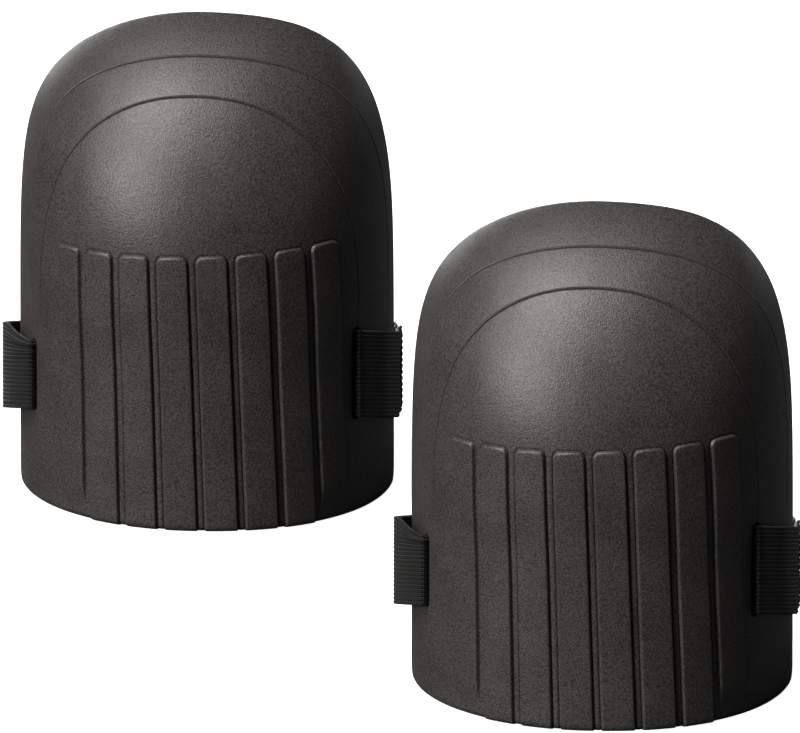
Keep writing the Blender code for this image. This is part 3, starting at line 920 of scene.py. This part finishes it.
def sag(y):
    """Height of the straps' middle line. It runs straight down from the slots, then levels out behind."""
    away = max(y, SAG_KNEE_Y) - SAG_START_Y
    left = SAG_DROP * math.exp(-away / SAG_LENGTH)
    return STRAP_HEIGHT - SAG_DROP + left + left / SAG_LENGTH * max(SAG_KNEE_Y - y, 0.0)


def smooth_path(points, spacing):
    """Points a spacing apart on a smooth curve through the given points of the plan."""
    padded = [2 * points[0] - points[1], *points, 2 * points[-1] - points[-2]]
    path = []
    for a, b, c, d in zip(padded, padded[1:], padded[2:], padded[3:]):
        count = max(round((c - b).length / spacing), 1)
        for i in range(count):
            t = i / count
            path.append(0.5 * (2 * b + (c - a) * t + (2 * a - 5 * b + 4 * c - d) * t**2
                               + (3 * b - a - 3 * c + d) * t**3))
    return path + [points[-1]]


def slot_ends(side):
    """Plan points of a slot's outer and inner mouths, as if on the right."""
    mouth, throat = slot_point(side, 0.0), slot_point(side, FOAM_THICKNESS)
    return Vector((side * mouth[0], mouth[1])), Vector((side * throat[0], throat[1]))


def anchor_path(side):
    """Plan of an anchor loop: up the outside of the foam, in through the slot and back along the inside."""
    mouth, throat = slot_ends(side)
    normal = (mouth - throat).normalized()
    half = (WEB_THICKNESS + ELASTIC_THICKNESS) / 2 + GAP
    points = [
        (HINGE_X + half, SEAM_END_Y),
        (HINGE_X + half, SEAM_START_Y + 0.004),
        *ANCHOR_OUTSIDE[side],
        mouth + normal * ANCHOR_LEAD,
        mouth,
        throat,
        throat - normal * ANCHOR_LEAD,
        *ANCHOR_INSIDE,
        (HINGE_X - half - 0.0006, SEAM_START_Y + 0.0015),
        (HINGE_X - half, SEAM_START_Y + 0.006),
        (HINGE_X - half, SEAM_END_Y),
    ]
    points = [Vector(point) for point in points]
    return [Vector((side * point.x, point.y)) for point in smooth_path(points, PATH_SPACING)]


def arm_path(side, reach, start_x, end_x, spacing=PATH_SPACING, lead=()):
    """Plan of a strap behind the knee, a stretch of a half ellipse that starts at its hinge.

    An x below 0 is past the middle, seen from the hinge. Lead holds points before the stretch.
    """
    begin = math.acos(start_x / HINGE_X)
    end = math.acos(end_x / HINGE_X)
    length = (end - begin) * (HINGE_X + reach) / 2
    steps = max(round(length / spacing), 2)
    path = [Vector(point) for point in lead]
    for i in range(steps + 1):
        angle = begin + (end - begin) * i / steps
        path.append(Vector((HINGE_X * math.cos(angle), HINGE_Y + reach * math.sin(angle))))
    return [Vector((side * point.x, point.y)) for point in path]


def path_frame(path):
    """Unit tangents of a plan path and its running length."""
    tangents = []
    for i in range(len(path)):
        tangents.append((path[min(i + 1, len(path) - 1)] - path[max(i - 1, 0)]).normalized())
    lengths = [0.0]
    for a, b in zip(path, path[1:]):
        lengths.append(lengths[-1] + (b - a).length)
    return tangents, lengths


def outward(tangent, flip):
    """The way out of a band that runs along this tangent. Flip, 1 or -1, says which side of it is out."""
    return Vector((-tangent.y, tangent.x)) * flip


def band_section(width, thickness, pitch, relief):
    """Half outline of a band's section as (out, up) points, ribbed lengthwise, from its foot to its top."""
    ribs = round(width / pitch)
    outline = []
    for i in range(4 * ribs + 1):
        up = width * (i / (4 * ribs) - 0.5)
        out = thickness / 2 - relief * (0.5 + 0.5 * math.cos(2 * math.pi * i / 4))
        if i in (0, 4 * ribs):
            out = thickness * 0.22
        outline.append((out, up))
    return outline


def band_mesh(name, path, width, thickness, pitch, relief, flip, shape=None, wobble=0.0):
    """A ribbed band that stands along a plan path and sags with the straps.

    Shape, if given, bends a section's points. Wobble is how far the band strays outward and upward.
    """
    tangents, lengths = path_frame(path)
    half = band_section(width, thickness, pitch, relief)
    section = half + [(-out, up) for out, up in reversed(half)]
    points, places = [], []
    for i, (point, tangent, length) in enumerate(zip(path, tangents, lengths)):
        out = outward(tangent, flip)
        for out_by, up in section:
            moved_out, moved_up = shape(i, out_by, up) if shape else (out_by, up)
            ripple = wobble * math.sin(length * WAVES_OUT[0] + up * WAVES_OUT[1])
            moved_up += wobble * math.sin(length * WAVES_UP[0] + up * WAVES_UP[1])
            spot = point + out * (moved_out + ripple)
            points.append((spot.x, spot.y, sag(point.y) + moved_up))
            places.append((length, up))
    return cloth_mesh(name, points, band_faces(len(section), len(path)), places, degrees=70)


def gathered(path, side):
    """Draws a band's upper edge down into a slot that is too short for it, as a shape for band_mesh."""
    mouth, throat = slot_ends(side)
    middle = (mouth + throat) / 2
    middle.x *= side
    ceiling = of_side(side, SLOT_HEIGHT) + of_side(side, SLOT_LENGTH) / 2 - GATHER_GAP
    knee = WEB_WIDTH / 2 - GATHER_WIDTH

    def shape(i, out, up):
        away = max((path[i] - middle).length - FOAM_THICKNESS / 2, 0.0)
        spare = WEB_WIDTH / 2 - (ceiling + GATHER_SLOPE * away - sag(path[i].y))
        if spare <= 0 or up <= knee:
            return out, up
        share = (up - knee) / GATHER_WIDTH
        pleat = 0.12 * spare * share * math.sin(4 * math.pi * share)
        return out + pleat, up - spare * share**1.5

    return shape


def tape_mesh(name, path, width, thickness, flip, lift, pile):
    """A flat tape, with a rough pile of this height on its outer face.

    Lift says how far it lies out from the path, as a length or a function of the place along it.
    """
    tangents, lengths = path_frame(path)
    rows = round(width / TAPE_ROW_PITCH)
    source = random.Random(7)
    points, places = [], []
    for i, (point, tangent, length) in enumerate(zip(path, tangents, lengths)):
        out = outward(tangent, flip)
        raised = lift(length) if callable(lift) else lift
        ends = i in (0, len(path) - 1)
        for face in (1, -1):
            for k in range(rows + 1):
                share = k / rows if face > 0 else 1.0 - k / rows
                edge = ends or k in (0, rows)
                out_by = face * thickness / 2 * (0.55 if edge else 1.0)
                if face > 0 and not edge:
                    out_by += pile * (source.random() - 0.6)
                up = width * (share - 0.5)
                spot = point + out * (out_by + raised)
                points.append((spot.x, spot.y, sag(point.y) + up))
                places.append((length, up))
    return cloth_mesh(name, points, band_faces(2 * (rows + 1), len(path)), places)


def hook_field_mesh(name, path, flip, surface):
    """Rows of small bent hooks that stand on a tape's inner face, surface metres in from the path."""
    tangents, lengths = path_frame(path)
    points, faces = [], []
    due, row = HOOK_MARGIN, 0
    for point, tangent, length in zip(path, tangents, lengths):
        if length < due or length > lengths[-1] - HOOK_MARGIN:
            continue
        due += HOOK_PITCH_ALONG
        row += 1
        inward = -outward(tangent, flip)
        shift = 0.5 if row % 2 else 0.0
        for k in range(int(TAPE_WIDTH / HOOK_PITCH_ACROSS) - 1):
            up = (k + 0.75 + shift) * HOOK_PITCH_ACROSS - TAPE_WIDTH / 2
            lean = 1 if (k + row) % 2 else -1
            faces += plug_faces(4, len(HOOK_RINGS), len(points))
            for share, bend, size in HOOK_RINGS:
                for corner in range(4):
                    angle = math.pi / 2 * corner + math.pi / 4
                    side_by = HOOK_RADIUS * size * math.cos(angle)
                    up_by = HOOK_RADIUS * size * math.sin(angle) + lean * bend * HOOK_HEIGHT
                    spot = point + inward * (surface + share * HOOK_HEIGHT) + tangent * side_by
                    points.append((spot.x, spot.y, sag(point.y) + up + up_by))
    return cloth_mesh(name, points, faces, [(x + y, z) for x, y, z in points])


def stitch_mesh(name, runs):
    """Sewing as single stitches. A run is (place, length), and place gives a point and the way out there."""
    points, faces = [], []
    for place, length in runs:
        count = max(round(length / STITCH_PITCH), 1)
        for i in range(count):
            faces += plug_faces(STITCH_SIDES, STITCH_LEVELS + 1, len(points))
            centres = []
            for level in range(STITCH_LEVELS + 1):
                point, out = place((i + STITCH_START + STITCH_SHARE * level / STITCH_LEVELS) / count)
                rise = math.sin(math.pi * level / STITCH_LEVELS) ** 0.6
                centres.append((point + out * THREAD_RADIUS * (1.5 * rise - 1.0), out))
            for level, (centre, out) in enumerate(centres):
                ahead = centres[min(level + 1, STITCH_LEVELS)][0] - centres[max(level - 1, 0)][0]
                ahead.normalize()
                sideways = ahead.cross(out).normalized()
                upward = sideways.cross(ahead)
                size = THREAD_RADIUS * (0.55 if level in (0, STITCH_LEVELS) else 1.0)
                for corner in range(STITCH_SIDES):
                    angle = 2 * math.pi * corner / STITCH_SIDES
                    spot = centre + sideways * size * math.cos(angle) + upward * size * math.sin(angle)
                    points.append(tuple(spot))
    mesh = new_mesh(name, np.array(points), faces)
    smooth_shade(mesh, 60)
    return mesh


def box_x_runs(side):
    """Stitch runs of a box-X on the outer face of an anchor."""
    x = HINGE_X + (WEB_THICKNESS + ELASTIC_THICKNESS) / 2 + GAP + WEB_THICKNESS / 2
    first, last = SEAM_START_Y + 0.0055, SEAM_END_Y - 0.0020
    half = WEB_WIDTH / 2 - 0.003
    corners = [(first, -half), (last, -half), (last, half), (first, half)]

    def run(a, b):
        (y0, z0), (y1, z1) = corners[a], corners[b]

        def place(t):
            y = y0 + (y1 - y0) * t
            return Vector((side * x, y, sag(y) + z0 + (z1 - z0) * t)), Vector((side, 0, 0))

        return place, math.hypot(y1 - y0, z1 - z0)

    return [run(a, b) for a, b in ((0, 1), (1, 2), (2, 3), (3, 0), (0, 2), (1, 3))]


def frame_runs(path, flip, lift, width):
    """Stitch runs round a strip of this width along a path, lift metres out of it."""
    tangents, lengths = path_frame(path)

    def along(up):
        def place(t):
            at = t * (len(path) - 1)
            i = min(int(at), len(path) - 2)
            point = path[i].lerp(path[i + 1], at - i)
            tangent = tangents[i].lerp(tangents[i + 1], at - i).normalized()
            out = outward(tangent, flip)
            spot = point + out * lift
            return Vector((spot.x, spot.y, sag(point.y) + up)), Vector((out.x, out.y, 0))

        return place

    def upward(i):
        def place(t):
            point, out = along(0.0)(i)
            return point + Vector((0, 0, width * (t - 0.5))), out

        return place

    return [(along(-width / 2), lengths[-1]), (along(width / 2), lengths[-1]),
            (upward(0), width), (upward(1), width)]


# ---- pads ----


def strap_shapes():
    """Meshes of every strap piece, in pad space."""
    shapes = {}

    def keep(make, name, *values):
        shapes[name] = make(name, *values)

    def keep_elastic(name, side, reach, end_x):
        lead = [(HINGE_X, SEAM_START_Y + step) for step in (0.004, 0.009, 0.014)]
        lead += [(HINGE_X, HINGE_Y - step) for step in (0.005, 0.003, 0.001)]
        path = arm_path(side, reach, HINGE_X * math.cos(ARC_START), end_x, lead=lead)
        keep(band_mesh, name, path, WEB_WIDTH, ELASTIC_THICKNESS, ELASTIC_PITCH, ELASTIC_RELIEF, -side)

    for side, label in ((-1, "loop"), (1, "hook")):
        path = anchor_path(side)
        keep(band_mesh, f"{label}_webbing", path, WEB_WIDTH, WEB_THICKNESS, WEB_PITCH, WEB_RELIEF, side,
             gathered(path, side), WEB_WOBBLE)
        keep(stitch_mesh, f"{label}_box_stitches", box_x_runs(side))

    keep_elastic("loop_elastic", -1, LOOP_REACH, -LOOP_STRAP_TIP_X)
    lift = ELASTIC_THICKNESS / 2 + GAP + TAPE_THICKNESS / 2
    path = arm_path(-1, LOOP_REACH, 0.060, -LOOP_STRAP_TIP_X + 0.002, spacing=0.0007)
    keep(tape_mesh, "loop_tape_pile", path, TAPE_WIDTH, TAPE_THICKNESS, 1, lift - 0.1 * MM, PILE_HEIGHT)
    path = arm_path(-1, LOOP_REACH, 0.0585, -LOOP_STRAP_TIP_X + 0.0035)
    keep(stitch_mesh, "loop_tape_stitches",
         frame_runs(path, 1, lift + TAPE_THICKNESS / 2, TAPE_WIDTH - 0.0030))

    keep_elastic("hook_elastic", 1, HOOK_REACH, HOOK_STRAP_TIP_X)
    path = arm_path(1, HOOK_REACH, HOOK_STRAP_TIP_X + 0.0145, HOOK_TAB_TIP_X, spacing=0.0010)
    lapped = ELASTIC_THICKNESS / 2 + 0.05 * MM + BACKING_THICKNESS / 2

    def tab_lift(length):
        return lapped + (0.1 * MM - lapped) * float(smooth((length - 0.0165) / 0.007))

    keep(tape_mesh, "hook_tape", path, TAPE_WIDTH, BACKING_THICKNESS, -1, tab_lift, 0.0)
    path = arm_path(1, HOOK_REACH, HOOK_STRAP_TIP_X - 0.010, HOOK_TAB_TIP_X, spacing=0.0003)
    keep(hook_field_mesh, "hook_field", path, -1, BACKING_THICKNESS / 2 - 0.12 * MM)
    path = arm_path(1, HOOK_REACH, HOOK_STRAP_TIP_X + 0.0125, HOOK_STRAP_TIP_X + 0.0015)
    keep(stitch_mesh, "tab_stitches", frame_runs(path, -1, lapped + BACKING_THICKNESS / 2, WEB_WIDTH - 0.007))
    return shapes


def pad_origin(pad):
    """The place of a pad's own origin in the model."""
    low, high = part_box(f"{pad}_outer_shell")
    return Vector((low.x + HALF_WIDTH[0], high.y, low.z))


def add_piece(pad, name, mesh, material, nodes, slot):
    """Places a copy of a mesh on its pad, with its material, and hides the nodes it stands for. Slot is not
    used.
    """
    data = mesh.copy()
    data.materials.clear()
    data.materials.append(material)
    piece = new_object(f"{pad}_{name}", data)
    piece.location = pad_origin(pad)
    for node in nodes:
        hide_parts(f"{pad}_{node}")
    return piece


def add_pad(pad, shapes, looks):
    origin = pad_origin(pad)

    def place(x, y):
        return origin + Vector((x, y, sag(y)))

    def piece(name, look, slot, nodes):
        return add_piece(pad, name, shapes[name], looks[look], nodes, slot)

    body = f"{pad}_pad"
    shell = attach(piece("foam_shell", "foam", "moulded_foam", ["outer_shell"]), body)
    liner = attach(piece("comfort_liner", "liner", "liner_foam", ["inner_liner"]), body)
    for label, side in (("loop", -1), ("hook", 1)):
        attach(piece(f"{label}_webbing", "webbing", "ribbed_webbing", [f"{label}_anchor"]), body)
        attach(piece(f"{label}_box_stitches", "thread", "sewing_thread", [f"{label}_anchor_stitch"]), body)
        elastic = piece(f"{label}_elastic", "elastic", "woven_elastic", [f"{label}_strap"])
        place(side * HINGE_X, HINGE_Y - 0.004)
        place(side * HINGE_X, HINGE_Y + 0.008)
        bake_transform(elastic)
    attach(piece("loop_tape_pile", "pile", "loop_pile", ["loop_tape"]), f"{pad}_loop_strap")
    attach(piece("loop_tape_stitches", "thread", "sewing_thread", ["loop_tape_stitch"]), f"{pad}_loop_strap")
    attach(piece("tab_stitches", "thread", "sewing_thread", ["tab_stitch"]), f"{pad}_hook_strap")

    hook_tape = piece("hook_tape", "hook", "hook_tape", ["hook_tab"])
    tip = HOOK_STRAP_TIP_X

    def on_arm(x):
        return place(x, HINGE_Y + HOOK_REACH * math.sqrt(1.0 - (x / HINGE_X) ** 2))

    on_arm(tip + 0.001)
    on_arm(tip - 0.009)
    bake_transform(hook_tape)
    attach(piece("hook_field", "hooks", "hook_tape", []), f"{pad}_hook_tab")


def main():
    add_camera()
    for sun in SUNS:
        add_sun(*sun)
    add_world()
    add_floor()
    looks = {
        "foam": foam_look(),
        "liner": liner_look(),
        "webbing": woven_look("ribbed_webbing", 0.9 * MM, (0.0012, 0.0013, 0.0014),
                              (0.0125, 0.0133, 0.0137), roughness=0.6, sheen=0.04),
        "elastic": woven_look("woven_elastic", 0.8 * MM, (0.0028, 0.0028, 0.0030),
                              (0.0160, 0.016, 0.017), roughness=0.7, sheen=0.10),
        "pile": pile_look(),
        "hook": hook_look("hook_tape_back", 0.6),
        "hooks": hook_look("hook_tape_hooks", 0.4),
        "thread": thread_look(),
    }
    shapes = strap_shapes()
    shapes["foam_shell"] = shell_mesh()
    shapes["comfort_liner"] = liner_mesh()
    for pad in PADS:
        add_pad(pad, shapes, looks)
    scene = bpy.context.scene
    scene.view_settings.view_transform = "Standard"
    scene.view_settings.look = "None"


main()
